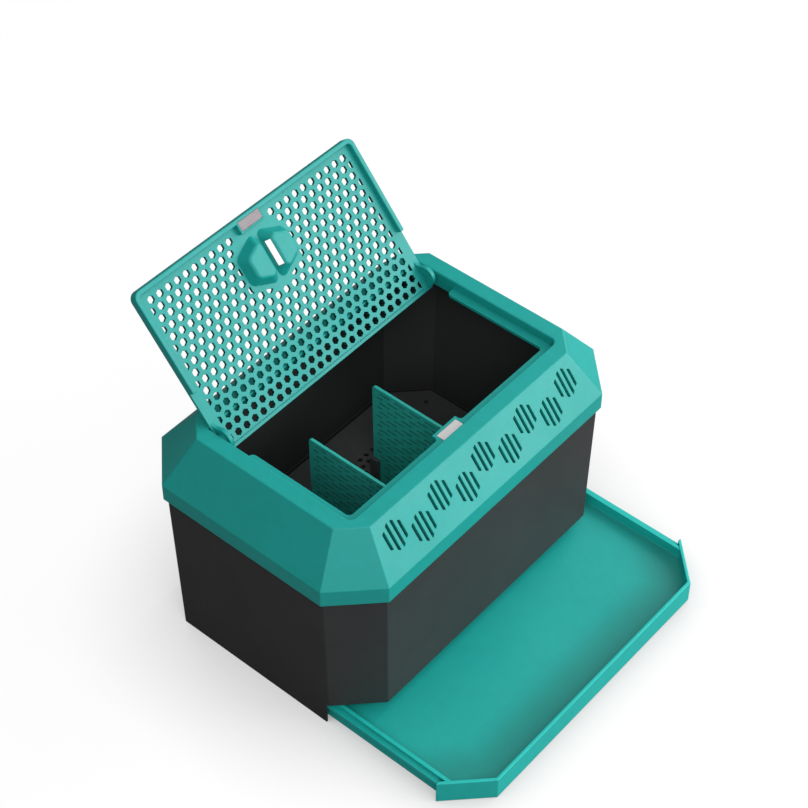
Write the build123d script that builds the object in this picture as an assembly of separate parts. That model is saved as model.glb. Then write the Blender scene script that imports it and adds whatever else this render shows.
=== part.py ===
from build123d import *
import os
from math import atan2, cos, hypot, radians, sin, sqrt, tan

# Insect keeper box, in millimetres. +X runs along the long side, +Y from the vented front to the hinge,
# +Z up. The origin is the middle of the case's footprint, on the plane of its foot rim.
# The pose is in use: lid open against its stop, tray part way out, climbing boards standing.

# ---------------------------------------------------------------- Driving dimensions

# Bin: an octagonal tub on a skirt, open at the front for the tray
bin_half_length = 119.6
bin_half_depth = 84.2
bin_corner_cut = 24.6         # each 45 degree corner facet, measured along the sides it replaces
bin_flare_length = 3.0        # each end wall leans out by this much at the rim
bin_flare_depth = 1.3         # and the front and back walls by this much
bin_corner_flare = 1.05       # the corner facets grow by this much
bin_wall = 2.3
bin_rim_z = 127.6
bin_edge_rounding = 1.4
bay_height = 18.7             # clear height of the tray bay
wing_setback = 2.4            # the skirt's end walls start this far behind the corner facets
lip_width = 6.0               # inward lip that carries the sieve floor
lip_thickness = 2.2
skirt_wall = 1.1              # of the end walls beside the tray, at their foot
rail_thickness = 2.2

# Sieve floor with the four posts of the climbing boards
floor_thickness = 2.2
floor_gap = 2.1               # all round, to the bin's walls
sieve_half_length = 66.0
sieve_half_depth = 57.0
sieve_pitch = 6.0
sieve_hole = 3.0              # across flats
sieve_post_margin = 3.0
corner_hole_radius = 1.5
corner_hole_inset = 26.8      # from the floor's front or back edge
corner_hole_end_inset = 11.3  # from the floor's end edge
post_width = 7.0
post_height = 23.6

# Climbing boards
board_x = 29.0                # each board stands this far from the middle
board_thickness = 1.9
board_half_width = 34.0
board_draft = 0.8             # each edge leans in by this much from top to shoulder
board_foot_half_width = 28.8
board_height = 86.9           # above the sieve floor
board_corner_rounding = 2.0
board_fit = 0.3               # between a board and its grooves in the posts
board_seat_gap = 0.05
post_groove_depth = 1.5
grip_groove_length = 8.0
grip_groove_gap = 4.0
grip_groove_width = 0.9
grip_groove_depth = 0.45
grip_row_pitch = 4.0
grip_margin = 3.2

# Cover: a band round the bin's rim, sloping facets and a flat top with the lid opening
cover_fit = 0.2
cover_wall = 2.1
cover_overlap = 9.9           # the band reaches this far below the bin's rim
cover_seat = 1.9              # from the bin's rim up to the foot of the slope
cover_slope_run = 21.75
cover_slope_height = 27.7
cover_roof = 2.2
cover_edge_rounding = 1.0
opening_edge_rounding = 0.9
opening_half_length = 92.8
opening_front = 55.5
opening_corner_rounding = 4.5
well_wall = 2.0
ledge_width = 6.0
ledge_thickness = 2.0
ledge_corner_rounding = 3.0
ledge_end_setback = 19.2      # the side ledges stop this far in front of the hinge axis
cheek_depth = 9.0             # the walls at the hinge reach this far below the lid's underside
cheek_thickness = 5.6
cheek_half_width = 8.6

# Vent slots in the front facet
vent_clusters = 9
vent_pitch = 19.3
vent_high = 21.5              # up the slope, to the middle of every other cluster
vent_low = 13.9
vent_slots = 4
vent_slot_pitch = 4.3
vent_slot_width = 2.0
vent_half_height = 10.05      # of a cluster's hexagon outline, at its middle
vent_end_slope = 0.68         # of that outline
vent_rounding = 0.45

# Lid and hinge
lid_open_angle = 50.0         # above the horizontal, leaning on the opening's back edge
hinge_y = 43.2
lid_thickness = 2.0
hinge_drop = 2.6              # axis below the lid's underside
lid_side_gap = 0.6
lid_front_gap = 0.5
lid_swing_gap = 0.18
lid_stop_gap = 0.05
lid_rest_gap = 0.05
lid_corner_rounding = 5.0
lid_rim_height = 3.65
lid_rim_width = 3.1
lid_rim_end = 31.7            # the side rims stop this far in front of the axis
lid_rim_rounding = 0.6
lid_rim_inner_rounding = 2.5
lid_rim_tip_rounding = 1.0
ear_radius = 7.0
ear_root_rounding = 5.0       # where the ear's outline runs into the lid
ear_thickness = 2.5
ear_inset = 1.2               # from the lid's side edge
ear_dimple_radius = 1.2
ear_dimple_depth = 1.0
pin_radius = 3.5
pin_clearance = 0.06
pin_length = 4.4
socket_depth = 3.0
rear_groove_offset = 6.6      # behind the axis
rear_groove_width = 0.6
rear_groove_depth = 0.4

# Hexagon holes in the lid
mesh_pitch = 7.08
mesh_hole = 4.3               # across flats
mesh_rows = 16
mesh_first_row = 2.8          # behind the axis
mesh_half_length = 84.9       # holes are trimmed at this distance from the middle

# Finger wells in the lid: a split hexagon
grip_centre = 69.0            # in front of the axis
grip_depth = 7.3              # of the lobes below the lid's underside
grip_wall = 1.5
grip_split = 0.85             # half of the bar between the wells
grip_reach = 20.2
grip_half_length = 17.3       # beside the bar
grip_end_slope = 0.42
grip_side_lean = 0.44
grip_end_lean = 0.56
grip_inner_rounding = 3.4
grip_outer_rounding = 4.6
grip_brow_rounding = 2.4
grip_zone_reach = 21.2        # no holes inside this larger hexagon
grip_zone_half_side = 12.2
grip_zone_slope = 0.39
grip_window_length = 17.0
grip_window_high = 0.9
grip_window_low = 6.2
grip_window_reach = 6.3       # from the middle

# Magnets of the lid's catch
magnet_length = 17.2
magnet_width = 6.1
magnet_thickness = 2.0
magnet_fit = 0.05
magnet_reach = 93.1           # in front of the axis
magnet_wall = 1.2
tab_margin = 1.8              # of the ledge's tab around the strike magnet
tab_floor = 1.4
tab_rounding = 2.5

# Droppings tray
tray_pull = 82.3              # how far it is drawn out of the closed place
tray_front_proud = 0.8        # its front stands out from the bin's foot
tray_wall = 2.0
tray_side_wall = 2.3
tray_side_inset = 4.6         # its side walls, from the outside of the bin's end walls
tray_top_gap = 1.4            # under the bin
tray_ground_gap = 0.4
tray_floor = 2.2
tray_floor_z = 9.0            # top of its floor
tray_step = 0.4               # side and rear walls below the front panel's top
tray_panel_rounding = 0.7
tray_floor_rounding = 1.6
tray_rear_gap = 0.7
flange_z = 14.5               # top of the flanges that the tray hangs by
flange_thickness = 2.4
flange_fit = 0.3
rail_fit = 0.3
flange_end_gap = 3.0

cut_margin = 1.0              # cuts run this far past the surface that they start from

# ---------------------------------------------------------------- Sizes that follow


def inset(outline, distance):
    """The same octagon with every side moved inwards by one distance."""
    half_length, half_depth, corner_cut = outline
    return half_length - distance, half_depth - distance, corner_cut - distance * (2 - sqrt(2))


foot = (bin_half_length, bin_half_depth, bin_corner_cut)
rim = (
    bin_half_length + bin_flare_length,
    bin_half_depth + bin_flare_depth,
    bin_corner_cut + bin_corner_flare,
)
band = inset(rim, -cover_fit - cover_wall)
band_bottom_z = bin_rim_z - cover_overlap
shoulder_z = bin_rim_z + cover_seat
top_z = shoulder_z + cover_slope_height
roof_z = top_z - cover_roof
top = inset(band, cover_slope_run)
slope_angle = atan2(cover_slope_height, cover_slope_run)

underside_z = top_z - lid_thickness
hinge_z = underside_z - hinge_drop
ledge_z = underside_z - lid_rim_height - lid_rest_gap
cheek_z = underside_z - cheek_depth
open_angle = radians(lid_open_angle)
closing_turn = 180.0 - lid_open_angle
# The open lid's outer face lies against the rounded back edge of the opening, which fixes the
# hinge's place.
edge_relief = opening_edge_rounding * (sin(open_angle) + cos(open_angle) - 1)
lean = (lid_thickness + hinge_drop) * (1 + cos(open_angle))
hinge_setback = (lean + lid_stop_gap - edge_relief) / sin(open_angle)
opening_back = hinge_y + hinge_setback
lid_half_length = opening_half_length - lid_side_gap
lid_front = opening_front - lid_front_gap
magnet_y = hinge_y - magnet_reach
tab_half_length = magnet_length / 2 + tab_margin
tab_edge_y = magnet_y + magnet_width / 2 + tab_margin
ear_outer_x = lid_half_length - ear_inset
ledge_end_y = hinge_y - ledge_end_setback

floor_z = bay_height + lip_thickness + floor_thickness
floor_outline = inset(foot, bin_wall + floor_gap)
post_top_z = floor_z + post_height
post_inner_y = board_foot_half_width + board_fit - post_groove_depth
board_foot_z = floor_z + board_fit
board_top_z = floor_z + board_height

tray_front_outline = inset(foot, -tray_front_proud)
tray_rear_outline = inset(foot, bin_wall + tray_rear_gap)
tray_half_width = bin_half_length - tray_side_inset
tray_top_z = bay_height - tray_top_gap
rail_top_z = flange_z - flange_thickness - rail_fit
skirt_inside = bin_half_length - skirt_wall
side_wall_end_y = bin_half_depth - bin_corner_cut
flange_half_width = skirt_inside - flange_fit
wing_front_y = wing_setback - side_wall_end_y
hinge_line = Axis((0, hinge_y, hinge_z), (1, 0, 0))

# ---------------------------------------------------------------- Shapes used by several pieces


def octagon_corners(outline, z):
    half_length, half_depth, cut = outline
    corner_x, corner_y = half_length - cut, half_depth - cut
    left_back = [(-half_length, corner_y), (-corner_x, half_depth)]
    back = left_back + [(-x, y) for x, y in reversed(left_back)]
    return [(x, y, z) for x, y in back + [(-x, -y) for x, y in back]]


def octagon(outline, z):
    """A flat octagon at height z."""
    return make_face(Polyline(*octagon_corners(outline, z), close=True))


def prism(outline, z_low, z_high):
    return extrude(octagon(outline, z_low), z_high - z_low)


def frustum(lower, z_low, upper, z_high):
    """The solid between two octagons, closed by flat sides."""
    low, high = octagon_corners(lower, z_low), octagon_corners(upper, z_high)
    loops = [(low[i - 1], low[i], high[i], high[i - 1]) for i in range(len(low))]
    faces = [make_face(Polyline(*loop, close=True)).face() for loop in [low, high] + loops]
    return Solid(Shell(faces))


def block(x_span, y_span, z_span):
    """A box between the given low and high values."""
    spans = (x_span, y_span, z_span)
    middle = [(low + high) / 2 for low, high in spans]
    return Pos(*middle) * Box(*(high - low for low, high in spans))


def rectangle(x_span, y_span):
    centre = Pos(sum(x_span) / 2, sum(y_span) / 2)
    return centre * Rectangle(x_span[1] - x_span[0], y_span[1] - y_span[0])


def side_span(side, inner, outer):
    """The span from inner to outer on the +X or -X side, low value first."""
    return (inner, outer) if side > 0 else (-outer, -inner)


def cylinder_along_x(radius, x_span, y, z):
    length = x_span[1] - x_span[0]
    return Pos(sum(x_span) / 2, y, z) * Rot(0, 90, 0) * Cylinder(radius, length)


def hexagon(across_flats):
    """A hexagon with two flats facing +X and -X."""
    return Rot(0, 0, 30) * RegularPolygon(across_flats / sqrt(3), 6)


def pierced(outline, holes):
    """An outline's face with the given flat shapes, all inside it, as its holes."""
    hole_wires = [face.outer_wire() for hole in holes for face in hole.faces()]
    return Face(outline.face().outer_wire(), hole_wires)


# ---------------------------------------------------------------- Bin


def make_bin():
    outer = frustum(foot, 0, rim, bin_rim_z)
    uprights = [edge for edge in outer.edges() if edge.length > bin_rim_z]
    outer = fillet(uprights, bin_edge_rounding)
    walls = outer - frustum(inset(foot, bin_wall), 0, inset(rim, bin_wall), bin_rim_z)

    lip = prism(inset(foot, bin_wall / 2), bay_height, bay_height + lip_thickness)
    lip -= prism(inset(foot, bin_wall + lip_width), bay_height - cut_margin, floor_z)
    front_bay = block(
        (-2 * bin_half_length, 2 * bin_half_length),
        (-2 * bin_half_depth, wing_front_y),
        (-cut_margin, bay_height),
    )
    bin_shell = walls + lip - front_bay

    # The end walls are thinner beside the tray, and carry the rails that its flanges slide on.
    bay_y = (wing_front_y, side_wall_end_y)
    bin_shell -= block((-skirt_inside, skirt_inside), bay_y, (-cut_margin, bay_height))
    rail_inside = tray_half_width + flange_fit
    rail_z = (rail_top_z - rail_thickness, rail_top_z)
    rail_spans = [side_span(side, rail_inside, bin_half_length - skirt_wall / 2) for side in (-1, 1)]
    return bin_shell + [block(span, bay_y, rail_z) for span in rail_spans]


# ---------------------------------------------------------------- Sieve floor


def sieve_holes():
    """The fine hexagon holes, leaving out those that would meet a post."""
    row_pitch = sieve_pitch * sqrt(3) / 2
    rows = int(sieve_half_depth / row_pitch)
    columns = int(sieve_half_length / sieve_pitch)
    places = []
    for row in range(-rows, rows + 1):
        shift = sieve_pitch / 2 if row % 2 else 0.0
        for column in range(-columns, columns + 1):
            x, y = column * sieve_pitch + shift, row * row_pitch
            beside_post = abs(abs(x) - board_x) < post_width / 2 + sieve_post_margin
            in_post_rows = post_inner_y - sieve_post_margin < abs(y) < board_half_width + sieve_post_margin
            if not (beside_post and in_post_rows):
                places.append(Pos(x, y))
    return [place * hexagon(sieve_hole) for place in places]


def sieve_post(side, end):
    """One post, with the groove that an edge of a board slides down."""
    centre_x = side * board_x
    groove_half = board_thickness / 2 + board_fit
    post = block(
        (centre_x - post_width / 2, centre_x + post_width / 2),
        side_span(end, post_inner_y, board_half_width),
        (floor_z - floor_thickness / 2, post_top_z),
    )
    return post - block(
        (centre_x - groove_half, centre_x + groove_half),
        side_span(end, post_inner_y - cut_margin, post_inner_y + post_groove_depth),
        (floor_z, post_top_z + cut_margin),
    )


def make_sieve_floor():
    plate = octagon(floor_outline, 0)
    corner_x = floor_outline[0] - corner_hole_end_inset
    corner_y = floor_outline[1] - corner_hole_inset
    corner_holes = [
        Pos(x, y) * Circle(corner_hole_radius) for x in (-corner_x, corner_x) for y in (-corner_y, corner_y)
    ]
    plate = pierced(plate, sieve_holes() + corner_holes)
    floor = extrude(Pos(0, 0, floor_z - floor_thickness) * plate, floor_thickness)

    return floor + [sieve_post(side, end) for side in (-1, 1) for end in (-1, 1)]


# ---------------------------------------------------------------- Climbing boards


def grip_grooves(face_x, inward):
    """Rows of short shallow grooves in brick order on one face of a board."""
    depth_span = sorted((face_x - inward * cut_margin, face_x + inward * grip_groove_depth))
    pitch = grip_groove_length + grip_groove_gap
    grooves = []
    row_z = board_foot_z + grip_margin
    row = 0
    while row_z < board_top_z - grip_margin:
        above_shoulder = row_z > post_top_z + grip_margin
        reach = (board_half_width - board_draft if above_shoulder else post_inner_y) - grip_margin
        shift = pitch / 2 if row % 2 else 0.0
        count = int(2 * reach / pitch) + 2
        for step in range(-count, count + 1):
            low = max(step * pitch + shift - grip_groove_length / 2, -reach)
            high = min(step * pitch + shift + grip_groove_length / 2, reach)
            if high - low > grip_groove_width:
                z_span = (row_z - grip_groove_width / 2, row_z + grip_groove_width / 2)
                grooves.append(block(depth_span, (low, high), z_span))
        row_z += grip_row_pitch
        row += 1
    return grooves


def make_board(side):
    shoulder = post_top_z + board_seat_gap
    shoulder_half = board_half_width - board_draft
    half_outline = [(board_half_width, board_top_z), (shoulder_half, shoulder)]
    profile = make_face(Polyline(*half_outline, *[(-y, z) for y, z in reversed(half_outline)], close=True))
    profile = fillet(profile.vertices().group_by(Axis.Y)[-1], board_corner_rounding)
    profile += rectangle((-board_foot_half_width, board_foot_half_width), (board_foot_z, shoulder))
    near_face = side * board_x - board_thickness / 2
    plane = Plane((near_face, 0, 0), x_dir=(0, 1, 0), z_dir=(1, 0, 0))
    board = extrude(plane * profile, board_thickness)
    return board - grip_grooves(near_face, 1) - grip_grooves(near_face + board_thickness, -1)


# ---------------------------------------------------------------- Cover


def cover_shell():
    """The band, the sloping facets and a closed flat top."""
    outer = prism(band, band_bottom_z, shoulder_z) + frustum(band, shoulder_z, top, top_z)
    outer = fillet(outer.edges().group_by(Axis.Z)[1:], cover_edge_rounding)

    slope_inset = cover_wall / sin(slope_angle)

    def inner_outline(z):
        return inset(band, slope_inset + (z - shoulder_z) / tan(slope_angle))

    band_room = prism(inset(band, cover_wall), band_bottom_z - cut_margin, bin_rim_z)
    upper_room = frustum(inner_outline(bin_rim_z), bin_rim_z, inner_outline(roof_z), roof_z)
    upper_room &= prism(inset(rim, bin_wall), bin_rim_z, roof_z)
    return outer - band_room - upper_room


def opening_outline(margin):
    """The lid opening grown by a margin, with rounded front corners."""
    half = opening_half_length + margin
    outline = rectangle((-half, half), (-opening_front - margin, opening_back + margin))
    front_corners = outline.vertices().group_by(Axis.Y)[0]
    return fillet(front_corners, opening_corner_rounding + margin)


def passage_outline():
    """The way into the bin: the opening less its ledge and the ledge's magnet tab."""
    ledge_inner_x = opening_half_length - ledge_width
    ledge_inner_y = -opening_front + ledge_width
    passage = rectangle((-ledge_inner_x, ledge_inner_x), (ledge_inner_y, opening_back))
    passage = fillet(passage.vertices().group_by(Axis.Y)[0], ledge_corner_rounding)
    passage += rectangle((-opening_half_length, opening_half_length), (ledge_end_y, opening_back))
    ledge_ends = [v for v in passage.vertices() if abs(v.X) < opening_half_length - lid_side_gap]
    ledge_ends = [v for v in ledge_ends if abs(v.Y - ledge_end_y) < lid_side_gap]
    passage = fillet(ledge_ends, ledge_corner_rounding)
    passage -= rectangle((-tab_half_length, tab_half_length), (ledge_inner_y - cut_margin, tab_edge_y))
    roots = [v for v in passage.vertices() if abs(v.Y - ledge_inner_y) < lid_side_gap]
    roots = [v for v in roots if abs(v.X) < tab_half_length + lid_side_gap]
    return fillet(roots, tab_rounding)


def magnet_box(z_span, fit):
    """Room for one of the catch's magnets, in the closed lid's place."""
    half_length = magnet_length / 2 + fit
    half_width = magnet_width / 2 + fit
    return block((-half_length, half_length), (magnet_y - half_width, magnet_y + half_width), z_span)


def vent_slot(x):
    """One slot of a cluster, its ends on the cluster's hexagon outline."""
    left, right = x - vent_slot_width / 2, x + vent_slot_width / 2
    left_half, right_half = (vent_half_height - vent_end_slope * abs(edge) for edge in (left, right))
    points = [(left, -left_half), (right, -right_half), (right, right_half), (left, left_half)]
    slot = make_face(Polyline(*points, close=True))
    return fillet(slot.vertices(), vent_rounding)


def vent_cutters():
    outward = (0, -sin(slope_angle), cos(slope_angle))
    facet = Plane((0, -band[1], shoulder_z), x_dir=(1, 0, 0), z_dir=outward)
    cutters = []
    for cluster in range(vent_clusters):
        centre_x = (cluster - (vent_clusters - 1) / 2) * vent_pitch
        height = vent_low if cluster % 2 else vent_high
        for slot in range(vent_slots):
            shape = vent_slot((slot - (vent_slots - 1) / 2) * vent_slot_pitch)
            placed = facet * Pos(centre_x, height) * shape
            cutters.append(extrude(placed, cover_wall + cut_margin, dir=outward, both=True))
    return cutters


def on_well_edge(edge):
    """Whether an edge of the flat top belongs to the lid opening."""
    middle = edge.center()
    return abs(middle.X) < opening_half_length + cut_margin and abs(middle.Y) < opening_front + cut_margin


def make_cover():
    cover = cover_shell() - vent_cutters()

    # Walls of the lid opening, deeper and thicker where the hinge sits
    ledge_bottom = ledge_z - ledge_thickness
    well_height = roof_z + cut_margin - ledge_bottom
    cover += extrude(Pos(0, 0, ledge_bottom) * opening_outline(well_wall), well_height)
    tab_bottom = ledge_z - magnet_thickness - tab_floor
    cover += block((-tab_half_length, tab_half_length), (-opening_front, tab_edge_y), (tab_bottom, ledge_z))
    for side in (-1, 1):
        deep_wall = side_span(side, opening_half_length, opening_half_length + well_wall)
        cheek = side_span(side, opening_half_length, opening_half_length + cheek_thickness)
        cover += block(deep_wall, (ledge_end_y, opening_back + well_wall), (cheek_z, roof_z + cut_margin))
        cheek_y = (hinge_y - cheek_half_width, hinge_y + cheek_half_width)
        cover += block(cheek, cheek_y, (cheek_z, roof_z + cut_margin))

    # The opening: a recess for the lid, and the passage inside its ledge
    cover -= extrude(Pos(0, 0, ledge_z) * opening_outline(0), top_z + cut_margin - ledge_z)
    passage = Pos(0, 0, tab_bottom - cut_margin) * passage_outline()
    cover -= extrude(passage, ledge_z + cut_margin - tab_bottom + cut_margin)
    cover -= magnet_box((ledge_z - magnet_thickness, ledge_z + cut_margin), magnet_fit)

    well_edges = [edge for edge in cover.edges().group_by(Axis.Z)[-1] if on_well_edge(edge)]
    cover = fillet(well_edges, opening_edge_rounding)

    # Blind sockets that the lid's stub pins spring into
    for side in (-1, 1):
        span = side_span(side, opening_half_length - cut_margin, opening_half_length + socket_depth)
        cover -= cylinder_along_x(pin_radius + pin_clearance, span, hinge_y, hinge_z)
    return cover


def make_strike_magnet():
    return magnet_box((ledge_z - magnet_thickness, ledge_z), 0)


# ---------------------------------------------------------------- Lid, drawn closed and then opened


def mesh_holes():
    """The lid's hexagon holes, clear of the finger wells, the magnet's holder and the ears."""
    row_pitch = mesh_pitch * sqrt(3) / 2
    hole_radius = mesh_hole / sqrt(3)
    columns = int(mesh_half_length / mesh_pitch) + 1
    magnet_zone_x = magnet_length / 2 + magnet_wall + hole_radius
    magnet_zone_start = magnet_reach - magnet_width / 2 - magnet_wall - hole_radius
    holes = []
    for row in range(mesh_rows):
        ahead = row * row_pitch - mesh_first_row
        shift = mesh_pitch / 2 if row % 2 else 0.0
        for column in range(-columns, columns + 1):
            x = column * mesh_pitch + shift
            zone_half = grip_zone_half_side + (grip_zone_reach - abs(x)) * grip_zone_slope
            in_grip = abs(x) < grip_zone_reach - lid_side_gap and abs(ahead - grip_centre) < zone_half
            in_magnet = abs(x) < magnet_zone_x and ahead > magnet_zone_start
            outside = abs(x) > mesh_half_length + hole_radius / 2
            if not (in_grip or in_magnet or outside):
                holes.append(Pos(x, hinge_y - ahead) * hexagon(mesh_hole))
    return holes


def grip_zone():
    peak = grip_zone_half_side + grip_zone_reach * grip_zone_slope
    corners = [(grip_zone_reach, grip_zone_half_side), (0, peak), (-grip_zone_reach, grip_zone_half_side)]
    points = corners + [(-x, -y) for x, y in corners]
    return Pos(0, hinge_y - grip_centre) * make_face(Polyline(*points, close=True))


def grip_section(side, depth, wall):
    """The outline of one finger well's lobe at a depth below the underside, thinned by a wall."""
    inner_x = grip_split + grip_side_lean * depth + wall
    outer_x = grip_reach - grip_side_lean * depth - wall
    shrink = grip_end_lean * depth + wall * hypot(1, grip_end_slope)

    def half_at(x):
        return grip_half_length - grip_end_slope * (x - grip_split) - shrink

    inner_half, outer_half = half_at(inner_x), half_at(outer_x)
    inner_points = [(side * inner_x, -inner_half), (side * inner_x, inner_half)]
    outer_points = [(side * outer_x, outer_half), (side * outer_x, -outer_half)]
    shape = make_face(Polyline(*inner_points, *outer_points, close=True))
    by_distance = shape.vertices().sort_by(lambda vertex: abs(vertex.X))
    shape = fillet(by_distance[:2], grip_inner_rounding)
    by_distance = shape.vertices().sort_by(lambda vertex: abs(vertex.X))
    corners = [v for v in by_distance if abs(v.X) > outer_x - lid_side_gap]
    shape = fillet(corners, grip_outer_rounding)
    return Pos(0, hinge_y - grip_centre, underside_z - depth) * shape


def grip_lobe(side):
    lobe = loft([grip_section(side, 0, 0), grip_section(side, grip_depth, 0)], ruled=True)
    return fillet(lobe.edges().group_by(Axis.Z)[0], grip_brow_rounding)


def grip_well(side):
    """The finger room of one lobe, open at the lid's outer face, with a window towards the bar."""
    floor_depth = grip_depth - grip_wall
    room = loft(
        [grip_section(side, floor_depth, grip_wall), grip_section(side, -lid_thickness, grip_wall)],
        ruled=True,
    )
    window_x = side_span(side, grip_split / 2, grip_window_reach)
    window_y = hinge_y - grip_centre
    return room + block(
        window_x,
        (window_y - grip_window_length / 2, window_y + grip_window_length / 2),
        (underside_z - grip_window_low, underside_z - grip_window_high),
    )


def lid_panel():
    outline = rectangle((-lid_half_length, lid_half_length), (-lid_front, opening_back))
    outline = fillet(outline.vertices().group_by(Axis.Y)[0], lid_corner_rounding)
    field = rectangle((-mesh_half_length, mesh_half_length), (-lid_front, opening_back)) - grip_zone()
    panel = pierced(outline, [hole & field for hole in mesh_holes()])
    panel = extrude(Pos(0, 0, underside_z) * panel, lid_thickness)

    # The rear edge is an arc about the hinge, so that it turns clear of the opening's back edge.
    swing = hinge_setback - lid_swing_gap
    half = lid_half_length + cut_margin
    tail = block(
        (-half, half),
        (hinge_y, opening_back + cut_margin),
        (underside_z - cut_margin, top_z + cut_margin),
    )
    tail -= cylinder_along_x(swing, (-half, half), hinge_y, hinge_z)
    groove_y = hinge_y + rear_groove_offset
    groove = block(
        (-mesh_half_length, mesh_half_length),
        (groove_y - rear_groove_width / 2, groove_y + rear_groove_width / 2),
        (underside_z - cut_margin, underside_z + rear_groove_depth),
    )
    return panel - [tail, groove]


def lid_rim():
    """The rim under the lid's front and sides, with the magnet's holder in its middle."""
    rim_end_y = hinge_y - lid_rim_end
    outer = rectangle((-lid_half_length, lid_half_length), (-lid_front, rim_end_y))
    outer = fillet(outer.vertices().group_by(Axis.Y)[0], lid_corner_rounding)
    inner_half = lid_half_length - lid_rim_width
    inner = rectangle((-inner_half, inner_half), (-lid_front + lid_rim_width, rim_end_y))
    inner = fillet(inner.vertices().group_by(Axis.Y)[0], lid_rim_inner_rounding)
    shape = outer - inner
    tips = [v for v in shape.vertices() if abs(v.Y - rim_end_y) < lid_side_gap]
    shape = fillet(tips, lid_rim_tip_rounding)
    half_holder = magnet_length / 2 + magnet_wall
    holder_rear = magnet_y + magnet_width / 2 + magnet_wall
    shape += rectangle((-half_holder, half_holder), (-lid_front, holder_rear))
    rim_body = extrude(Pos(0, 0, underside_z - lid_rim_height) * shape, lid_rim_height)
    return fillet(rim_body.edges().group_by(Axis.Z)[0], lid_rim_rounding)


def ear_outline():
    """The ear's disc and the hollow curve by which it runs into the lid; the lid's front is to the right."""
    curve_depth = hinge_drop - ear_root_rounding
    curve_ahead = sqrt((ear_radius + ear_root_rounding) ** 2 - curve_depth**2)
    meeting = ear_radius / (ear_radius + ear_root_rounding)
    top_level = hinge_drop + lid_thickness / 2
    corners = [
        (0, 0),
        (meeting * curve_ahead, meeting * curve_depth),
        (curve_ahead, curve_depth),
        (curve_ahead, top_level),
        (0, top_level),
    ]
    root = make_face(Polyline(*corners, close=True))
    root -= Pos(curve_ahead, curve_depth) * Circle(ear_root_rounding)
    disc = Circle(ear_radius) & (Pos(0, top_level - ear_radius) * Rectangle(2 * ear_radius, 2 * ear_radius))
    return root + disc


def lid_ear(side):
    """A hinge ear with its stub pin and the small sink hollow behind the pin."""
    inner_x = ear_outer_x - ear_thickness
    high_x = side_span(side, inner_x, ear_outer_x)[1]
    face_plane = Plane((high_x, hinge_y, hinge_z), x_dir=(0, -1, 0), z_dir=(-1, 0, 0))
    ear = extrude(face_plane * ear_outline(), ear_thickness)
    pin_span = side_span(side, ear_outer_x, ear_outer_x + pin_length)
    ear += cylinder_along_x(pin_radius, pin_span, hinge_y, hinge_z)
    dimple = side_span(side, inner_x - cut_margin, inner_x + ear_dimple_depth)
    return ear - cylinder_along_x(ear_dimple_radius, dimple, hinge_y, hinge_z)


def opened(piece):
    """A lid piece drawn closed, turned to its open place."""
    return piece.rotate(hinge_line, -closing_turn)


def make_lid():
    rim_bottom = underside_z - lid_rim_height
    magnet_room = magnet_box((rim_bottom - cut_margin, rim_bottom + magnet_thickness), magnet_fit)
    additions = [lid_rim()] + [make(side) for make in (grip_lobe, lid_ear) for side in (-1, 1)]
    return opened(lid_panel() + additions - [magnet_room, grip_well(-1), grip_well(1)])


def make_lid_magnet():
    rim_bottom = underside_z - lid_rim_height
    return opened(magnet_box((rim_bottom, rim_bottom + magnet_thickness), 0))


# ---------------------------------------------------------------- Tray, drawn closed and then pulled


def tray_plan(front_inset, side_inset, rear_inset):
    """The tray's plan, with its front, its sides and its rear each moved in by a distance."""
    half_width = tray_half_width - side_inset
    reach = 2 * bin_half_depth
    front_half = octagon(inset(tray_front_outline, front_inset), 0)
    front_half &= rectangle((-half_width, half_width), (-reach, 0))
    rear_half = octagon(inset(tray_rear_outline, rear_inset), 0)
    rear_half &= rectangle((-half_width, half_width), (0, reach))
    return front_half + rear_half


def make_tray():
    tub = extrude(Pos(0, 0, tray_ground_gap) * tray_plan(0, 0, 0), flange_z - tray_ground_gap)
    upper_plan = tray_plan(tray_wall / 2, 0, 0)
    tub += extrude(Pos(0, 0, tray_ground_gap) * upper_plan, tray_top_z - tray_step - tray_ground_gap)
    panel = prism(tray_front_outline, tray_ground_gap, tray_top_z)
    panel = fillet(panel.edges().group_by(Axis.Z)[-1], tray_panel_rounding)
    panel -= prism(inset(tray_front_outline, tray_wall), 0, bay_height)
    panel &= block(
        (-2 * bin_half_length, 2 * bin_half_length),
        (-2 * bin_half_depth, -side_wall_end_y),
        (0, bay_height),
    )

    flanges = block(
        (-flange_half_width, flange_half_width),
        (-bin_half_depth, side_wall_end_y - flange_end_gap),
        (flange_z - flange_thickness, flange_z),
    )
    flanges &= prism(tray_front_outline, tray_ground_gap, tray_top_z)

    inside_plan = tray_plan(tray_wall, tray_side_wall, tray_wall)
    room = extrude(Pos(0, 0, tray_floor_z) * inside_plan, bay_height - tray_floor_z)
    room = fillet(room.edges().group_by(Axis.Z)[0], tray_floor_rounding)
    underside = extrude(Pos(0, 0, -cut_margin) * inside_plan, tray_floor_z - tray_floor + cut_margin)
    return (tub + panel + flanges - room - underside).translate((0, -tray_pull, 0))


# ---------------------------------------------------------------- Pieces

pieces = {
    "bin_shell": make_bin(),
    "sieve_floor": make_sieve_floor(),
    "top_cover": make_cover(),
    "strike_magnet": make_strike_magnet(),
    "lid": make_lid(),
    "lid_magnet": make_lid_magnet(),
    "droppings_tray": make_tray(),
    "climbing_board_left": make_board(-1),
    "climbing_board_right": make_board(1),
}

os.makedirs("parts", exist_ok=True)
for name, piece in pieces.items():
    piece.label = name
    export_step(piece, f"parts/{name}.step")
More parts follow.
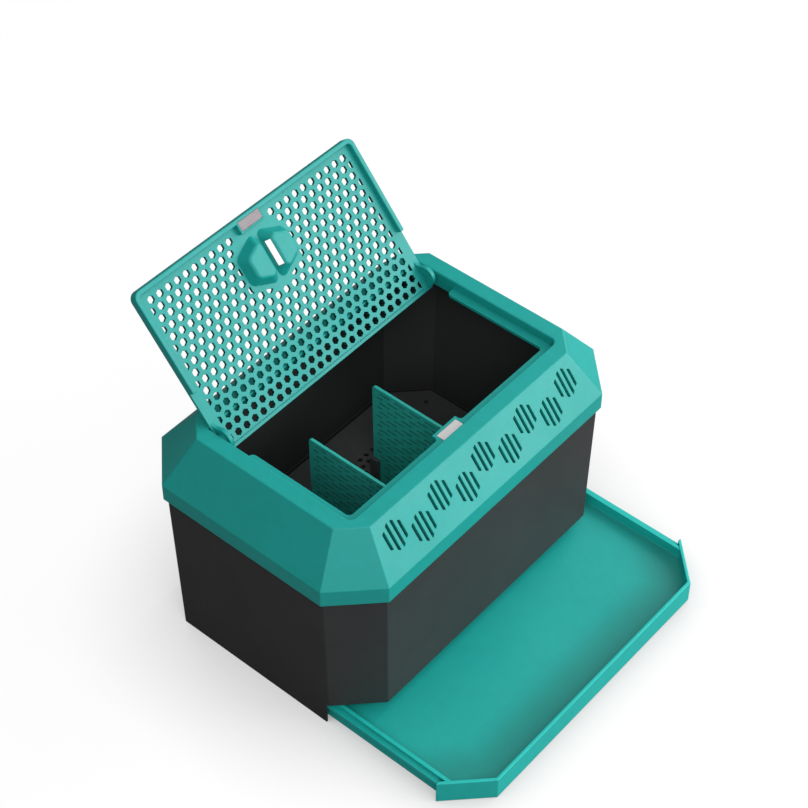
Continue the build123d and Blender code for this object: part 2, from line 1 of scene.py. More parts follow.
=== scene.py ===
# %% [markdown]
# # Cricket keeper box
#
# A live-food box for reptile keepers: a black bin with a sieve floor and two climbing boards, a teal
# cover with vent slots and a hinged lid full of hexagon holes, and a teal tray that slides out from
# underneath to be wiped clean. The shapes come from the imported part, which is loaded here as the
# frame. What this scene adds is how the real mouldings look: pigment, mould texture, rubbed edges and
# plated magnets, with painted light and painted shade in places, on a pale floor in soft light.

# %% Load the imported part
from math import acos, asin, cos, degrees, pi, radians, sin

import bpy
from mathutils import Matrix, Vector

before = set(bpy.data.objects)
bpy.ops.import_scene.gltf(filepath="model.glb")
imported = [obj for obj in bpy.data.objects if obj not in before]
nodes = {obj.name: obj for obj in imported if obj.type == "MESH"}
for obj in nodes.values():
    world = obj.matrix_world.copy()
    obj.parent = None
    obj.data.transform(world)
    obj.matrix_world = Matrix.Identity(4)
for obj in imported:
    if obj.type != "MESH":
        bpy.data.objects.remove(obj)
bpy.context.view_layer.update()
print("nodes:", ", ".join(sorted(nodes)))

# %% [markdown]
# ## Colours and nodes
#
# Colours are written the way a paint chart or a web page gives them, as sRGB hex. Blender's shaders
# work in linear light, so one function turns the one into the other. A second small function adds a
# shader node with its settings and plugs things into it, which keeps each material below to a recipe
# that reads from top to bottom.

# %% Colour from a hex code
def linear(hex_code):
    channels = [int(hex_code[i:i + 2], 16) / 255 for i in (1, 3, 5)]
    bent = [c / 12.92 if c <= 0.04045 else ((c + 0.055) / 1.055) ** 2.4 for c in channels]
    return (*bent, 1.0)


print("mid grey in linear light:", round(linear("#808080")[0], 3))

# %% One function adds any node
def add(tree, kind, settings=None, **inputs):
    """Adds a node. A tuple of (node, output name) given for an input is a link, anything else a value."""
    node = tree.nodes.new("ShaderNode" + kind)
    for name, value in (settings or {}).items():
        setattr(node, name, value)
    for name, value in inputs.items():
        key = int(name[1:]) if name[0] == "_" else name.replace("_", " ")
        socket = node.inputs[key]
        if isinstance(value, tuple) and isinstance(value[0], bpy.types.Node):
            tree.links.new(value[0].outputs[value[1]], socket)
        else:
            socket.default_value = value
    return node


def new_material(name):
    material = bpy.data.materials.new(name)
    material.use_nodes = True
    material.node_tree.nodes.clear()
    return material, material.node_tree


MM = 0.001  # the scene is in metres, and sizes on a moulding are easier to think of in millimetres


def repeats(size_mm):
    """How many times per metre a pattern of this size repeats, which is what a texture's scale means."""
    return 1.0 / (size_mm * MM)


NOISE_LOW, NOISE_HIGH = 0.3, 0.7  # nearly all values of a noise texture lie between these
SMOOTH = {"interpolation_type": "SMOOTHSTEP"}
MIX_COLOURS = {"data_type": "RGBA"}
COLOUR_OUT = 2  # a Mix node has an output for each kind of data, and this one is its colour

print("a 3 mm pattern repeats", round(repeats(3)), "times in a metre")

# %% [markdown]
# ## Finding the edges
#
# Plastic mouldings give themselves away at their edges. The mould leaves a small radius that catches
# the light, and handling polishes and lightens it. Modelling a radius on thousands of hexagon holes
# would make a heavy mesh, so the shader does it: a Bevel node bends the surface direction near an edge
# as a real radius would. Where that bent direction departs from the true one there is an edge, and
# the same difference serves as a mask for the wear.

# %% A mask for the edges
EDGE_STARTS, EDGE_IS_FULL = 0.02, 0.3  # how far the two directions part, as one minus their product


def edge_mask(tree, bevel):
    """0 on open faces and 1 along the edges."""
    true = add(tree, "NewGeometry")
    alike = add(
        tree, "VectorMath", {"operation": "DOT_PRODUCT"}, _0=(bevel, "Normal"), _1=(true, "Normal")
    )
    return add(
        tree, "MapRange", SMOOTH, Value=(alike, "Value"),
        From_Min=1 - EDGE_STARTS, From_Max=1 - EDGE_IS_FULL, To_Min=0.0, To_Max=1.0,
    )


wear_starts, wear_is_full = (degrees(acos(1 - part)) for part in (EDGE_STARTS, EDGE_IS_FULL))
print(f"wear starts where an edge turns by {wear_starts:.0f} degrees and is full at {wear_is_full:.0f}")

# %% [markdown]
# ## Inside and outside of the bin
#
# The bin is an octagon whose sides lean out a little upwards. How far a point lies beyond that octagon
# tells the inside of the bin, which is painted lighter, from its outside, finds the seam round the sieve
# floor for its painted shade, and tells the floor under the box from the floor around it.

# %% How far a point lies beyond the bin's octagon
FOOT_HALF_LENGTH, FOOT_HALF_DEPTH, FOOT_CORNER_CUT = 119.6 * MM, 84.2 * MM, 24.6 * MM
BIN_HEIGHT, LEAN_LENGTH, LEAN_DEPTH = 127.6 * MM, 3.0 * MM, 1.3 * MM
DIAGONAL = cos(pi / 4)  # turns a sum along two axes into a distance across a 45 degree corner


def beyond_octagon(tree, position):
    """In metres: below zero inside the octagon and above zero outside it."""
    height = add(tree, "SeparateXYZ", Vector=position)
    lean = add(
        tree, "VectorMath", {"operation": "SCALE"},
        _0=(LEAN_LENGTH / BIN_HEIGHT, LEAN_DEPTH / BIN_HEIGHT, 0.0), Scale=(height, "Z"),
    )
    spread = add(tree, "VectorMath", {"operation": "ABSOLUTE"}, _0=position)
    upright = add(
        tree, "VectorMath", {"operation": "SUBTRACT"}, _0=(spread, "Vector"), _1=(lean, "Vector")
    )
    beyond = add(
        tree, "VectorMath", {"operation": "SUBTRACT"},
        _0=(upright, "Vector"), _1=(FOOT_HALF_LENGTH, FOOT_HALF_DEPTH, 0.0),
    )
    sides = add(tree, "SeparateXYZ", Vector=(beyond, "Vector"))
    total = add(tree, "Math", {"operation": "ADD"}, _0=(sides, "X"), _1=(sides, "Y"))
    corner = add(
        tree, "Math", {"operation": "MULTIPLY_ADD"},
        _0=(total, "Value"), _1=DIAGONAL, _2=FOOT_CORNER_CUT * DIAGONAL,
    )
    furthest = add(tree, "Math", {"operation": "MAXIMUM"}, _0=(sides, "X"), _1=(sides, "Y"))
    return add(tree, "Math", {"operation": "MAXIMUM"}, _0=(furthest, "Value"), _1=(corner, "Value"))


print(f"the octagon's foot measures {2 * FOOT_HALF_LENGTH:.4f} by {2 * FOOT_HALF_DEPTH:.4f} m")

# %% [markdown]
# ## Painted shade in grooves, slots and holes
#
# Narrow grooves and slots let in little light, and their shade is painted into the colour here. They
# could be painted dark by hand, but an Ambient Occlusion node finds them by itself: it looks a few
# millimetres around each point and tells how much of that is open. The walls of the lid's holes are
# short and quite open. There the node is set so fine that it would darken the flat faces round the holes
# too, so the shade is kept to faces that stand square to the panel and lie within it.

# %% Shade for grooves, slots and hole walls
WALL, SLANT = 0.15, 0.35  # a hole's wall is square to its panel, and a slanted face isn't a hole's wall
PANEL_LEEWAY_MM = 0.1


def shaded_grooves(tree, place, colour, dark, reach_mm, open_at, shut_at, panel=None):
    """A panel is its direction and how far out its face lies that way, in mm."""
    nook = add(tree, "AmbientOcclusion", {"samples": 8, "only_local": True}, Distance=reach_mm * MM)
    depth = add(
        tree, "MapRange", Value=(nook, "AO"), From_Min=shut_at, From_Max=open_at, To_Min=1.0, To_Max=0.0
    )
    shade = (depth, "Result")
    if panel:
        direction, face_mm = panel
        facing = add(tree, "VectorMath", {"operation": "DOT_PRODUCT"}, _0=(place, "Normal"), _1=direction)
        tilt = add(tree, "Math", {"operation": "ABSOLUTE"}, _0=(facing, "Value"))
        across = add(
            tree, "MapRange", Value=(tilt, "Value"), From_Min=WALL, From_Max=SLANT, To_Min=1.0, To_Max=0.0
        )
        height = add(tree, "VectorMath", {"operation": "DOT_PRODUCT"}, _0=(place, "Object"), _1=direction)
        within = add(
            tree, "MapRange", Value=(height, "Value"), To_Min=1.0, To_Max=0.0,
            From_Min=(face_mm - PANEL_LEEWAY_MM) * MM, From_Max=(face_mm + PANEL_LEEWAY_MM) * MM,
        )
        hole_wall = add(
            tree, "Math", {"operation": "MULTIPLY"}, _0=(across, "Result"), _1=(within, "Result")
        )
        walls_only = add(tree, "Math", {"operation": "MULTIPLY"}, _0=shade, _1=(hole_wall, "Value"))
        shade = (walls_only, "Value")
    # The nook's shade is painted into the colour: painted shade
    return add(tree, "Mix", MIX_COLOURS, Factor=shade, _6=colour, _7=linear(dark))


print("a hole's wall may lean", round(degrees(asin(WALL)), 1), "degrees before its shade fades")

# %% [markdown]
# ## How near the tray's lip is
#
# The tray's floor is painted darker towards its lip, as painted shade. To lay it there, the shader has
# to know how near the lip is. The lip follows the bin's octagon, moved out as far as the tray is drawn,
# so the distance can be worked out from the same few numbers.

# %% How far a point lies beyond the tray's lip
TRAY_PULL = 82.3 * MM


def beyond_lip(tree, point):
    """In metres: below zero inside the lip and above zero in front of it."""
    front = add(
        tree, "Math", {"operation": "MULTIPLY_ADD"},
        _0=(point, "Y"), _1=-1.0, _2=-FOOT_HALF_DEPTH - TRAY_PULL,
    )
    aside = add(tree, "Math", {"operation": "ABSOLUTE"}, _0=(point, "X"))
    slant = add(tree, "Math", {"operation": "SUBTRACT"}, _0=(aside, "Value"), _1=(point, "Y"))
    slant_of_corner = FOOT_HALF_LENGTH + FOOT_HALF_DEPTH - FOOT_CORNER_CUT + TRAY_PULL
    corner = add(
        tree, "Math", {"operation": "MULTIPLY_ADD"},
        _0=(slant, "Value"), _1=DIAGONAL, _2=-slant_of_corner * DIAGONAL,
    )
    return add(tree, "Math", {"operation": "MAXIMUM"}, _0=(front, "Value"), _1=(corner, "Value"))


print(f"the lip stands {FOOT_HALF_DEPTH + TRAY_PULL:.4f} m in front of the bin's middle")

# %% [markdown]
# ## Painted shade on the tray's floor
#
# A darker tone could be painted on a picture that is wrapped over the tray, but then it would have to be
# painted again for every change of shape. Here the floor gets a uniform darker tone, and painted shade
# that follows the shape by itself: the shade deepens towards the lip, and by the side walls too, where
# an Ambient Occlusion node with a long reach finds the foot of a wall. Only faces that lie low and look
# up carry it.

# %% Painted shade on the tray's floor
EVEN_FLOOR_TONE, SHADE_BY_WALLS, SHADE_BY_LIP = 0.31, 0.53, 0.60  # how much of the plastic's colour it hides
SHADE_WIDE_MM, SHADE_FULL_MM = 36, 12                        # from the lip
TRAY_FLOOR_TOP = 9.4 * MM                                  # the rounding at the walls' foot starts here


def shaded_tray_floor(tree, place, colour, floor_shade):
    foot = add(tree, "AmbientOcclusion", {"samples": 12, "only_local": True}, Distance=60 * MM)
    by_walls = add(
        tree, "MapRange",
        Value=(foot, "AO"), From_Min=0.70, From_Max=0.99, To_Min=SHADE_BY_WALLS, To_Max=0.0,
    )
    point = add(tree, "SeparateXYZ", Vector=(place, "Object"))
    by_lip = add(
        tree, "MapRange", SMOOTH, Value=(beyond_lip(tree, point), "Value"),
        From_Min=-SHADE_WIDE_MM * MM, From_Max=-SHADE_FULL_MM * MM, To_Min=EVEN_FLOOR_TONE, To_Max=SHADE_BY_LIP,
    )
    darker_share = add(tree, "Math", {"operation": "MAXIMUM"}, _0=(by_walls, "Result"), _1=(by_lip, "Result"))

    low = add(
        tree, "MapRange", Value=(point, "Z"), To_Min=1.0, To_Max=0.0,
        From_Min=TRAY_FLOOR_TOP, From_Max=TRAY_FLOOR_TOP + 0.4 * MM,
    )
    direction = add(tree, "SeparateXYZ", Vector=(place, "Normal"))
    upward = add(
        tree, "MapRange", Value=(direction, "Z"), From_Min=0.3, From_Max=0.7, To_Min=0.0, To_Max=1.0
    )
    on_low = add(tree, "Math", {"operation": "MULTIPLY"}, _0=(darker_share, "Value"), _1=(low, "Result"))
    share = add(tree, "Math", {"operation": "MULTIPLY"}, _0=(on_low, "Value"), _1=(upward, "Result"))
    # Painted shade on the tray's floor, over a uniform darker tone
    return add(tree, "Mix", MIX_COLOURS, Factor=(share, "Value"), _6=colour, _7=linear(floor_shade))


print("the film thickens over the last", SHADE_WIDE_MM - SHADE_FULL_MM, "mm towards the lip")

# %% [markdown]
# ## Dust and dirt inside the bin
# ## Painted light inside the bin and painted shade in its seam
#
# Little light gets into the bin, so the black of its inside is painted a lighter grey, as painted light.
# A noise with clouds of 45 mm makes that grey uneven. Where the sieve floor meets the walls, a dark line
# is painted along the seam, as painted shade. Both are placed by the octagon: the wall is about 2 mm
# thick, and the sieve floor's rim lies 5 mm inside.

# %% Painted light on the walls and painted shade in the seam
INSIDE_FROM, INSIDE_TO = -0.8 * MM, -1.6 * MM  # halfway through the wall
LEAST_INSIDE_LIGHT = 0.78
SEAM_FROM, SEAM_TO = -6.4 * MM, -5.9 * MM
SEAM_SHADE = 0.85


def lightened_inside(tree, place, colour, inside_light):
    where = (place, "Object")
    beyond = beyond_octagon(tree, where)
    inside = add(
        tree, "MapRange",
        Value=(beyond, "Value"), From_Min=INSIDE_TO, From_Max=INSIDE_FROM, To_Min=1.0, To_Max=0.0,
    )
    cloud = add(tree, "TexNoise", Vector=where, Scale=repeats(45), Detail=5.0, Roughness=0.6)
    amount = add(
        tree, "MapRange",
        Value=(cloud, "Fac"), From_Min=NOISE_LOW, From_Max=NOISE_HIGH, To_Min=LEAST_INSIDE_LIGHT, To_Max=1.0,
    )
    share = add(tree, "Math", {"operation": "MULTIPLY"}, _0=(inside, "Result"), _1=(amount, "Result"))
    # A lighter grey painted inside the bin: painted light
    return add(tree, "Mix", MIX_COLOURS, Factor=(share, "Value"), _6=colour, _7=linear(inside_light))


def shaded_seam(tree, place, colour, dirt):
    beyond = beyond_octagon(tree, (place, "Object"))
    line = add(
        tree, "MapRange",
        Value=(beyond, "Value"), From_Min=SEAM_FROM, From_Max=SEAM_TO, To_Min=0.0, To_Max=SEAM_SHADE,
    )
    # A dark line painted along the gap round the sieve floor: painted shade
    return add(tree, "Mix", MIX_COLOURS, Factor=(line, "Result"), _6=colour, _7=linear(dirt))


print("the seam hides", SEAM_SHADE, "of the floor's colour")

# %% [markdown]
# ## Pigment
#
# Both plastics here are injection-moulded polypropylene, coloured right through, and they differ only
# in numbers, so they share one recipe. Its first step is the colour. One flat value would do from far
# off, but a real moulding is never quite even. The colour drifts a little over a hand's breadth, where
# the pigment flowed unevenly, and a finer mottle comes from the eroded finish of the mould's steel. Two
# noises of those sizes give both.

# %% Pigment drift and mottle
MOTTLE = 0.035  # how much darker or lighter the mottle makes the colour


def pigmented(tree, where, body, drift):
    flow = add(
        tree, "TexNoise", Vector=where, Scale=repeats(70), Detail=3.0, Roughness=0.55, Distortion=0.6
    )
    flow_share = add(
        tree, "MapRange", Value=(flow, "Fac"), From_Min=0.32, From_Max=0.68, To_Min=0.0, To_Max=1.0
    )
    pigment = add(
        tree, "Mix", MIX_COLOURS, Factor=(flow_share, "Result"), _6=linear(body), _7=linear(drift)
    )
    mottle = add(tree, "TexNoise", Vector=where, Scale=repeats(6), Detail=4.0, Roughness=0.6)
    mottle_light = add(
        tree, "MapRange", Value=(mottle, "Fac"),
        From_Min=NOISE_LOW, From_Max=NOISE_HIGH, To_Min=1 - MOTTLE, To_Max=1 + MOTTLE,
    )
    return add(
        tree, "Mix", MIX_COLOURS | {"blend_type": "MULTIPLY"},
        Factor=1.0, _6=(pigment, COLOUR_OUT), _7=(mottle_light, "Result"),
    )


print(f"the mottle changes the colour by {MOTTLE:.1%} either way")

# %% [markdown]
# ## Rubbed edges
#
# Hands and cloths rub a moulding along its edges. The edge mask from above says where. Wear of one
# strength everywhere would look like an outline drawn round the piece, so a noise with patches of
# 14 mm leaves some stretches hardly rubbed.

# %% Wear
LEAST_RUBBED = 0.35  # of the full wear


def rubbed_edges(tree, where, bevel, wear):
    edges = edge_mask(tree, bevel)
    rubbing = add(tree, "TexNoise", Vector=where, Scale=repeats(14), Detail=5.0, Roughness=0.65)
    strength = add(
        tree, "MapRange", Value=(rubbing, "Fac"),
        From_Min=0.35, From_Max=0.65, To_Min=wear * LEAST_RUBBED, To_Max=wear,
    )
    return add(tree, "Math", {"operation": "MULTIPLY"}, _0=(edges, "Result"), _1=(strength, "Result"))


print(f"the least rubbed stretch has {LEAST_RUBBED:.0%} of the full wear")

# %% [markdown]
# ## Satin skin and grain
#
# The mould's steel is eroded by sparks, and the plastic copies its fine pits. That breaks up the
# reflections and gives a satin shine. Finger marks make some patches a little smoother than others,
# and rubbed edges are the smoothest. The pits are a tenth of a millimetre or so, far too fine to see
# from half a metre, so the grain is drawn several times coarser and very shallow.

# %% Shine and grain of the skin
SATIN_SPREAD = 0.05  # of the roughness, up and down
EDGE_POLISH = 0.12   # how much less rough a fully worn edge is


def satin_skin(tree, where, roughness, rubbed):
    handling = add(tree, "TexNoise", Vector=where, Scale=repeats(38), Detail=3.0, Roughness=0.5)
    satin = add(
        tree, "MapRange", Value=(handling, "Fac"), From_Min=NOISE_LOW, From_Max=NOISE_HIGH,
        To_Min=roughness - SATIN_SPREAD, To_Max=roughness + SATIN_SPREAD,
    )
    return add(
        tree, "Math", {"operation": "MULTIPLY_ADD"},
        _0=(rubbed, "Value"), _1=-EDGE_POLISH, _2=(satin, "Result"),
    )


def spark_grain(tree, where, bevel, grain_mm, depth_mm):
    grain = add(tree, "TexNoise", Vector=where, Scale=repeats(grain_mm), Detail=2.0, Roughness=0.5)
    return add(
        tree, "Bump",
        Strength=1.0, Distance=depth_mm * MM, Height=(grain, "Fac"), Normal=(bevel, "Normal"),
    )


print("roughness varies by", SATIN_SPREAD, "either way, and a worn edge is", EDGE_POLISH, "smoother")

# %% [markdown]
# ## The recipe for a moulded plastic
#
# Now the steps come together in one Principled shader: pigment, rubbed edges, the painted shade and
# painted light that some pieces carry, then shine and grain. Its index of refraction is polypropylene's.
# Each piece below only states its own colours and numbers.

# %% Moulded polypropylene
POLYPROPYLENE_INDEX = 1.49


def moulded(
    name, body, drift, worn, roughness, grain_mm, grain_depth_mm, edge_mm, wear, specular,
    grooves=None, floor_shade=None, inside_light=None, seam_shade=None,
):
    material, tree = new_material(name)
    place = add(tree, "TexCoord")
    where = (place, "Object")
    bevel = add(tree, "Bevel", {"samples": 6}, Radius=edge_mm * MM)

    fresh = pigmented(tree, where, body, drift)
    rubbed = rubbed_edges(tree, where, bevel, wear)
    colour = add(
        tree, "Mix", MIX_COLOURS, Factor=(rubbed, "Value"), _6=(fresh, COLOUR_OUT), _7=linear(worn)
    )
    # Painted shade in grooves, on the tray's floor and in the seam, and painted light inside the bin
    if grooves:
        colour = shaded_grooves(tree, place, (colour, COLOUR_OUT), **grooves)
    for lay, tint in ((shaded_tray_floor, floor_shade), (lightened_inside, inside_light), (shaded_seam, seam_shade)):
        if tint:
            colour = lay(tree, place, (colour, COLOUR_OUT), tint)

    gloss = satin_skin(tree, where, roughness, rubbed)
    grain = spark_grain(tree, where, bevel, grain_mm, grain_depth_mm)
    shader = add(
        tree, "BsdfPrincipled", Base_Color=(colour, COLOUR_OUT), Roughness=(gloss, "Value"),
        Normal=(grain, "Normal"), IOR=POLYPROPYLENE_INDEX, Specular_IOR_Level=specular,
    )
    add(tree, "OutputMaterial", Surface=(shader, "BSDF"))
    return material


print("recipe ready, with an index of refraction of", POLYPROPYLENE_INDEX)

# %% [markdown]
# ## Teal polypropylene
#
# The cover, lid, tray and climbing boards are moulded in a saturated teal. Polypropylene takes a clean
# strong pigment and has a soft satin shine, neither matt nor glossy. Its rubbed edges go paler and a
# touch greyer. The four are given slightly different tones for how the light falls on them, as painted
# light and painted shade: the lid is a hair darker than the cover, the tray is brighter under its painted
# shade, and the boards, in the dim bin, are the palest. The boards have less rounding because their ribs
# are fine.

# %% Teal
satin_finish = dict(
    worn="#58C8C0", roughness=0.42, grain_mm=1.1, grain_depth_mm=0.012, edge_mm=0.45, specular=0.42
)
# Painted shade in the slots and grooves of the cover and the tray
deep_slots = dict(dark="#022421", reach_mm=5.0, open_at=0.55, shut_at=0.19)

teal = moulded(
    "satin_teal_polypropylene", body="#1AAAA2", drift="#1DAFA8", wear=0.26,
    grooves=deep_slots, **satin_finish,
)

# The lid: a hair darker tone as painted shade, and painted shade on its hole walls
lid_open_angle = radians(50)
lid_panel = ((0.0, -sin(lid_open_angle), cos(lid_open_angle)), 62.4)
teal_lid = moulded(
    "perforated_teal_polypropylene", body="#1AA7A0", drift="#1DACA6", wear=0.20,
    grooves=dict(dark="#042A27", reach_mm=3.0, open_at=0.99, shut_at=0.93, panel=lid_panel),
    **satin_finish,
)

# The tray: a brighter tone under the painted shade on its floor, and painted shade in its slots
teal_tray = moulded(
    "wiped_teal_polypropylene", body="#1EC6BD", drift="#21CAC1", wear=0.26,
    grooves=deep_slots, floor_shade="#1E6A62", **(satin_finish | {"roughness": 0.44}),
)

# The boards: paler as painted light in the dim bin, and painted shade in their grooves
teal_board = moulded(
    "ribbed_teal_polypropylene", body="#3CCFC2", drift="#3FD2C5", worn="#58D6CA",
    roughness=0.46, grain_mm=1.1, grain_depth_mm=0.012, edge_mm=0.25, wear=0.12, specular=0.40,
    grooves=dict(dark="#06453F", reach_mm=1.6, open_at=0.95, shut_at=0.33),
)
print("materials:", teal.name, teal_lid.name, teal_tray.name, teal_board.name)

# %% [markdown]
# ## Black polypropylene
#
# The bin and its sieve floor are the same plastic filled with carbon black. Its mould was eroded more
# deeply, so it is duller, and rubbing shows on it as grey rather than as a lighter shade of its colour.
# The inside of the bin is painted a lighter grey, and the sieve floor, deep in the bin, a lighter grey
# all over, both as painted light.

# %% Black
# The bin: painted lighter inside, as painted light
black = moulded(
    "grained_black_polypropylene", body="#3B3B3C", drift="#404041", worn="#5C5C5D",
    roughness=0.55, grain_mm=1.3, grain_depth_mm=0.03, edge_mm=0.5, wear=0.35, specular=0.30,
    inside_light="#4A4A4B",
)
# Sieve floor: lighter grey all over as painted light, painted shade in its holes and its seam
black_floor = moulded(
    "lightened_black_polypropylene", body="#5A5A5B", drift="#616162", worn="#6C6C6D",
    roughness=0.62, grain_mm=1.3, grain_depth_mm=0.03, edge_mm=0.4, wear=0.25, specular=0.18,
    grooves=dict(dark="#1E1E1F", reach_mm=1.6, open_at=0.95, shut_at=0.33), seam_shade="#0C0C0D",
)
print("materials:", black.name, "and", black_floor.name)

# %% [markdown]
# ## Nickel-plated magnets
#
# The lid's catch is two bar magnets, pressed flat into the ledge and into the lid. Neodymium rusts, so
# such magnets are plated with nickel: a slightly warm grey metal, bright but not a mirror, because the
# bars are tumbled before plating. A few fine scratches keep them from looking like white paint, and a
# dark rim is painted along their edges as painted shade. The one in the ledge is given lighter tones, as
# painted light, and the one in the lid, next to the finger wells, darker ones, as painted shade.

# %% Nickel
def plated_nickel(name, bright, clouded):
    material, tree = new_material(name)
    place = add(tree, "TexCoord")
    where = (place, "Object")

    cloud = add(tree, "TexNoise", Vector=where, Scale=repeats(5), Detail=4.0, Roughness=0.6)
    tone = add(tree, "Mix", MIX_COLOURS, Factor=(cloud, "Fac"), _6=linear(bright), _7=linear(clouded))

    # Scratches run mostly along the bar: noise stretched forty to one
    stretch = add(tree, "Mapping", Vector=where, Scale=(1.0, 40.0, 40.0))
    scratch = add(
        tree, "TexNoise", Vector=(stretch, "Vector"), Scale=repeats(12), Detail=3.0, Roughness=0.7
    )
    shine = add(
        tree, "MapRange", Value=(scratch, "Fac"),
        From_Min=NOISE_LOW, From_Max=NOISE_HIGH, To_Min=0.66, To_Max=0.78,
    )
    bevel = add(tree, "Bevel", {"samples": 6}, Radius=0.7 * MM)
    edges = edge_mask(tree, bevel)
    # A dark rim painted along the edges: painted shade round the magnet
    colour = add(
        tree, "Mix", MIX_COLOURS,
        Factor=(edges, "Result"), _6=(tone, COLOUR_OUT), _7=linear("#565254"),
    )
    bump = add(
        tree, "Bump", Strength=1.0, Distance=0.004 * MM, Height=(scratch, "Fac"), Normal=(bevel, "Normal")
    )
    shader = add(
        tree, "BsdfPrincipled", Base_Color=(colour, COLOUR_OUT), Metallic=1.0,
        Roughness=(shine, "Result"), Normal=(bump, "Normal"),
    )
    add(tree, "OutputMaterial", Surface=(shader, "BSDF"))
    return material


# Two copies of one nickel: the strike magnet's lighter tones are painted light, the lid magnet's darker
# ones painted shade
brightened_nickel = plated_nickel("brightened_nickel_magnet", bright="#F8F5F6", clouded="#EEEBEC")
dimmed_nickel = plated_nickel("dimmed_nickel_magnet", bright="#B2ACAF", clouded="#A69FA3")
print("materials:", brightened_nickel.name, "and", dimmed_nickel.name)

# %% [markdown]
# ## Dressing the part
#
# Every piece of the part keeps its own mesh, because each is a rigid moulding whose shape is already
# right. Only its material changes.

# %% Give each piece its finish
finishes = {
    "bin_shell": black,
    "sieve_floor": black_floor,
    "top_cover": teal,
    "lid": teal_lid,
    "droppings_tray": teal_tray,
    "climbing_board_left": teal_board,
    "climbing_board_right": teal_board,
    "strike_magnet": brightened_nickel,
    "lid_magnet": dimmed_nickel,
}
for name, finish in finishes.items():
    piece = nodes[name]
    for slot in piece.material_slots:
        slot.material = finish
    print(f"{name}: {finish.name}, {len(piece.data.polygons)} faces")

# %% [markdown]
# ## Floor
#
# A keeper box is shown on a plain pale sweep. The floor is one large plate of matt paper, and to the
# camera it also shines, so that the background reads as white paper. The shine fades under the box, or
# the table would glow through the sieve's holes, and it fades near anything that stands on it, which
# gives the soft shadow at the foot. Light that bounces off the floor on to the box finds a mid grey
# instead, so the box's lower faces stay as dark as they should be.

# %% Pale floor
HALF_FLOOR = 6.0                 # metres
GLOW_SHARE = 0.75                # of what the camera sees; the rest is lit paper
DIMMEST, BRIGHTEST = 0.40, 1.16  # how strong the glow is right beside something, and in the open
SHADOW_REACH_MM, FADE_UNDER_BOX_MM = 80, 15


def is_seen(tree):
    """1 for what the camera sees, also through something clear, and 0 for light that only bounces."""
    path = add(tree, "LightPath")
    return add(
        tree, "Math", {"operation": "MAXIMUM"},
        _0=(path, "Is Camera Ray"), _1=(path, "Is Transmission Ray"),
    )


def make_floor():
    mesh = bpy.data.meshes.new("studio_floor")
    corners = [(x * HALF_FLOOR, y * HALF_FLOOR, 0.0) for x, y in ((-1, -1), (1, -1), (1, 1), (-1, 1))]
    mesh.from_pydata(corners, [], [(0, 1, 2, 3)])
    floor = bpy.data.objects.new("studio_floor", mesh)
    bpy.context.scene.collection.objects.link(floor)

    material, tree = new_material("matt_white_paper")
    place = add(tree, "TexCoord")
    where = (place, "Object")
    fibre = add(tree, "TexNoise", Vector=where, Scale=repeats(40), Detail=3.0, Roughness=0.5)
    paper = add(
        tree, "Mix", MIX_COLOURS, Factor=(fibre, "Fac"), _6=linear("#E9E9EA"), _7=linear("#E5E5E6")
    )
    lit = add(tree, "BsdfDiffuse", Color=(paper, COLOUR_OUT))
    grey = add(tree, "BsdfDiffuse", Color=linear("#888889"))

    beyond = beyond_octagon(tree, where)
    clear_of_box = add(
        tree, "MapRange", SMOOTH,
        Value=(beyond, "Value"), From_Min=-FADE_UNDER_BOX_MM * MM, From_Max=0.0, To_Min=0.0, To_Max=1.0,
    )
    openness = add(tree, "AmbientOcclusion", {"samples": 8}, Distance=SHADOW_REACH_MM * MM)
    open_sky = add(
        tree, "MapRange",
        Value=(openness, "AO"), From_Min=0.0, From_Max=1.0, To_Min=DIMMEST, To_Max=BRIGHTEST,
    )
    shine = add(
        tree, "Math", {"operation": "MULTIPLY"}, _0=(clear_of_box, "Result"), _1=(open_sky, "Result")
    )
    white = add(tree, "Emission", Color=linear("#FFFFFF"), Strength=(shine, "Value"))
    glowing = add(tree, "MixShader", Fac=GLOW_SHARE, _1=(lit, "BSDF"), _2=(white, "Emission"))
    seen = is_seen(tree)
    mix = add(tree, "MixShader", Fac=(seen, "Value"), _1=(grey, "BSDF"), _2=(glowing, "Shader"))
    add(tree, "OutputMaterial", Surface=(mix, "Shader"))
    mesh.materials.append(material)
    print("floor:", floor.name, "of", material.name)


make_floor()

# %% [markdown]
# ## Light
#
# The key is a large soft box low at the front right, where it puts a broad sheen on the vented slope
# and on the open lid. A second one further round to the right lights the tray. A third stands right
# behind the camera and looks down into the bin, and a fourth hangs overhead. A weak one just above the
# floor in front lifts the upright front faces. The rest is even light from all round, as in a white
# tent. The left side gets the least and stays a clear step darker. A white surface that faces the key
# comes out at a brightness of about 1.3, and one that faces left at about 0.5.

# %% Soft boxes
BOX_MIDDLE = Vector((0.0, -0.03, 0.12))


def soft_box(name, direction, distance, size, radiance):
    """A rectangular lamp whose panel shines with this radiance: 1 is as bright as white in full light."""
    lamp = bpy.data.lights.new(name, "AREA")
    lamp.shape = "RECTANGLE"
    lamp.size, lamp.size_y = size
    lamp.energy = radiance * pi * size[0] * size[1]
    obj = bpy.data.objects.new(name, lamp)
    bpy.context.scene.collection.objects.link(obj)
    obj.location = BOX_MIDDLE + Vector(direction).normalized() * distance
    obj.rotation_euler = (BOX_MIDDLE - obj.location).to_track_quat("-Z", "Y").to_euler()
    print(f"{name}: {lamp.energy:.1f} W at {tuple(round(v, 2) for v in obj.location)}")
    return obj


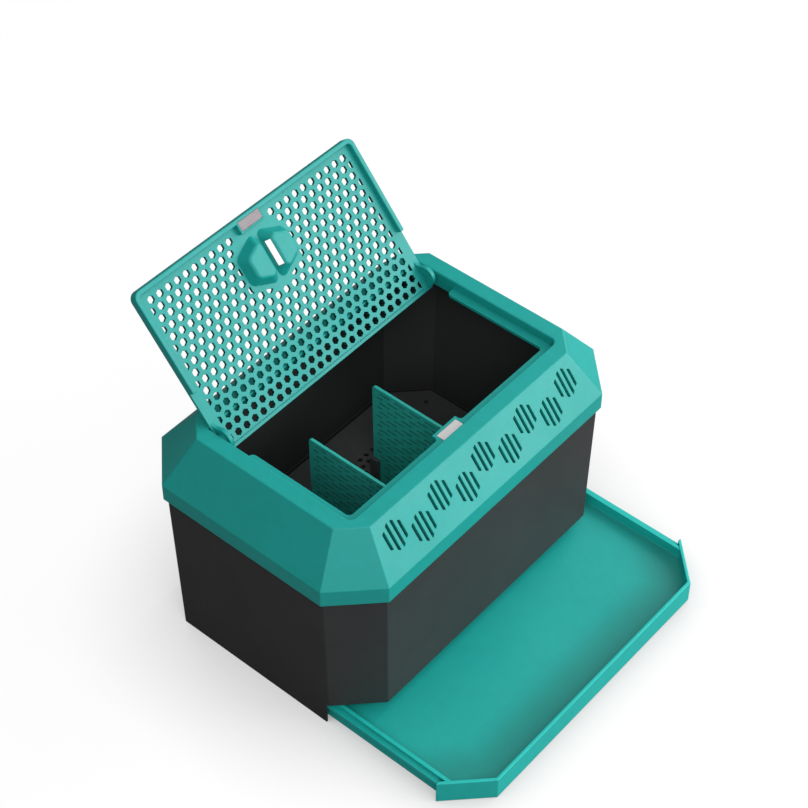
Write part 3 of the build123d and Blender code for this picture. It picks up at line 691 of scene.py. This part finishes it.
soft_box("key_front_right", (0.54, -0.76, 0.36), distance=1.5, size=(1.1, 0.9), radiance=4.1)
soft_box("fill_right", (1.0, -0.1, 0.5), distance=1.5, size=(1.0, 1.0), radiance=3.0)
soft_box("fill_over_shoulder", (-0.529, -0.446, 0.722), distance=1.6, size=(0.8, 0.8), radiance=3.4)
soft_box("overhead", (0.2, -0.1, 1.0), distance=1.5, size=(0.9, 0.9), radiance=1.3)
low_front = soft_box("low_front", (-0.25, -1.0, 0.12), distance=1.5, size=(1.0, 0.35), radiance=2.0)
low_front.visible_camera = False  # it stands low enough to come into a view from behind

# %% Surroundings
def light_surroundings(tent_strength, backdrop_strength):
    """A white tent lights the box evenly, and what the camera sees behind the floor is nearly white."""
    world = bpy.data.worlds.new("white_tent")
    bpy.context.scene.world = world
    world.use_nodes = True
    tree = world.node_tree
    tree.nodes.clear()
    tent = add(tree, "Background", Color=linear("#FFFFFF"), Strength=tent_strength)
    backdrop = add(tree, "Background", Color=linear("#FFFFFF"), Strength=backdrop_strength)
    seen = is_seen(tree)
    mix = add(
        tree, "MixShader", Fac=(seen, "Value"), _1=(tent, "Background"), _2=(backdrop, "Background")
    )
    add(tree, "OutputWorld", Surface=(mix, "Shader"))
    print("surroundings shine at", tent_strength)


light_surroundings(tent_strength=0.20, backdrop_strength=0.92)

# %% [markdown]
# ## Camera
#
# A fairly long lens looks down on the box over its front-left corner. The long lens keeps the box's
# upright edges nearly parallel. The view is given in the terms of someone setting up a tripod: how far
# round, how high, and a slight tilt of the camera.

# %% Place the camera
def place_camera(around, above, tilt, location, lens):
    """Angles in degrees. Around is counted from straight in front, and is negative to the left."""
    a, e, t = radians(around), radians(above), radians(tilt)
    back = Vector((sin(a) * cos(e), -cos(a) * cos(e), sin(e)))
    level_right = Vector((cos(a), sin(a), 0.0))
    level_up = back.cross(level_right)
    right = cos(t) * level_right + sin(t) * level_up
    up = back.cross(right)
    camera = bpy.data.objects.new("camera", bpy.data.cameras.new("camera"))
    camera.data.lens = lens
    camera.data.sensor_width = 36.0
    camera.matrix_world = Matrix.Translation(location) @ Matrix((right, up, back)).transposed().to_4x4()
    bpy.context.scene.collection.objects.link(camera)
    bpy.context.scene.camera = camera
    return camera


camera = place_camera(
    around=-49.869, above=46.225, tilt=0.242, location=Vector((-0.66183, -0.57321, 1.05293)), lens=95.83
)
print("camera at", tuple(round(v, 3) for v in camera.location), "with a lens of", camera.data.lens, "mm")

# %% [markdown]
# ## Show colours as they are
#
# The Standard view shows a colour as it is written, with no film look over it.

# %% View settings
bpy.context.scene.view_settings.view_transform = "Standard"
print("view transform:", bpy.context.scene.view_settings.view_transform)
